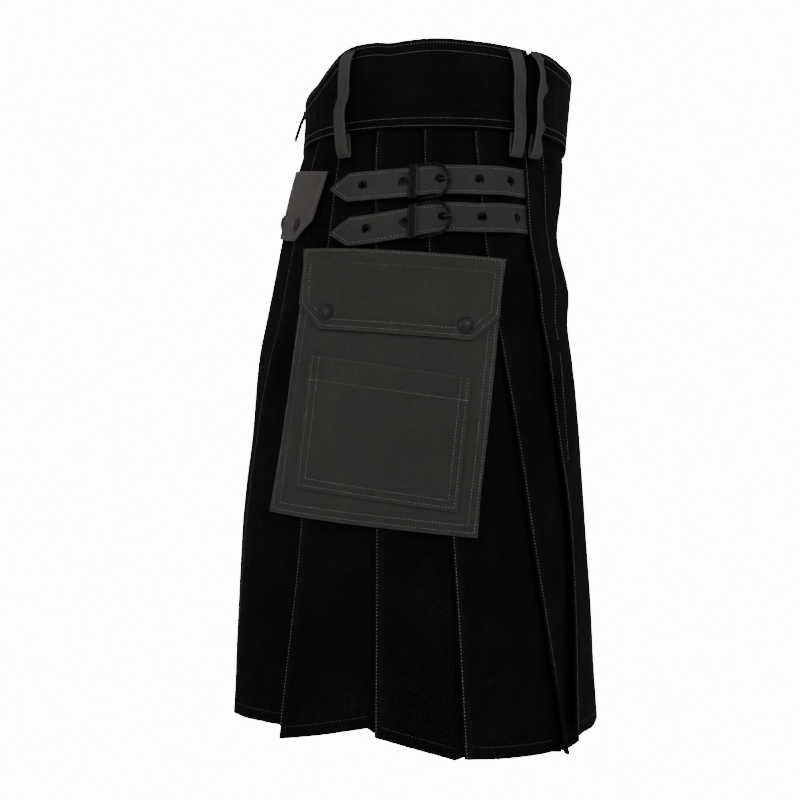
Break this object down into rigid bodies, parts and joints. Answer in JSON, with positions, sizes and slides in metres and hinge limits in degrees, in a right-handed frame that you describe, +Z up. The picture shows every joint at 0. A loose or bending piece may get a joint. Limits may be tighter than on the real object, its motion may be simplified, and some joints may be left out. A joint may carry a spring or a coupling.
{
  "type": "utility kilt",
  "caption": "Pleated utility kilt in worn, hollow form, with a wrap-over front apron, belt loops, buckled hip straps and flapped cargo pockets.",
  "frame": {"origin": "middle of the waist opening at the belt line, half way up the waistband, where the wearer holds it", "axes": "+Z up along the body, -Y to the front of the kilt, -X to the wearer's right hip"},
  "size_m": [0.4246, 0.3393, 0.6148],
  "materials": {
    "black_twill": "matt black cotton twill, worn-in, with tan edge stitching",
    "waistband_twill": "matt black cotton twill over stiffening, double stitched",
    "charcoal_trim": "matt charcoal cotton canvas with tan double stitching",
    "warm_grey_trim": "matt warm grey cotton canvas",
    "black_metal": "black enamelled metal, soft gloss"
  },
  "bodies": {
    "root": {"anchor_lower_left": "charcoal_trim", "anchor_lower_right": "charcoal_trim", "anchor_upper_left": "charcoal_trim", "anchor_upper_right": "charcoal_trim", "apron_over": "black_twill", "apron_under": "black_twill", "back_flap_left": "warm_grey_trim", "back_flap_right": "warm_grey_trim", "back_tab": "black_twill", "belt_loop_apron_left": "charcoal_trim", "belt_loop_apron_right": "charcoal_trim", "belt_loop_hip_back_left": "charcoal_trim", "belt_loop_hip_back_right": "charcoal_trim", "belt_loop_hip_front_left": "charcoal_trim", "belt_loop_hip_front_right": "charcoal_trim", "buckle_lower_left": "black_metal", "buckle_lower_right": "black_metal", "buckle_upper_left": "black_metal", "buckle_upper_right": "black_metal", "cargo_flap_left": "charcoal_trim", "cargo_flap_right": "charcoal_trim", "cargo_pocket_left": "charcoal_trim", "cargo_pocket_right": "charcoal_trim", "keeper_lower_left": "black_metal", "keeper_lower_right": "black_metal", "keeper_upper_left": "black_metal", "keeper_upper_right": "black_metal", "patch_pocket_left": "charcoal_trim", "patch_pocket_right": "charcoal_trim", "prong_lower_left": "black_metal", "prong_lower_right": "black_metal", "prong_upper_left": "black_metal", "prong_upper_right": "black_metal", "skirt_pleats": "black_twill", "snap_back_inner_left": "black_metal", "snap_back_inner_right": "black_metal", "snap_back_outer_left": "black_metal", "snap_back_outer_right": "black_metal", "snap_cargo_back_left": "black_metal", "snap_cargo_back_right": "black_metal", "snap_cargo_front_left": "black_metal", "snap_cargo_front_right": "black_metal", "strap_lower_left": "charcoal_trim", "strap_lower_right": "charcoal_trim", "strap_upper_left": "charcoal_trim", "strap_upper_right": "charcoal_trim", "waistband_apron": "waistband_twill", "waistband_main": "waistband_twill", "waistband_under": "waistband_twill"}
  },
  "joints": []
}
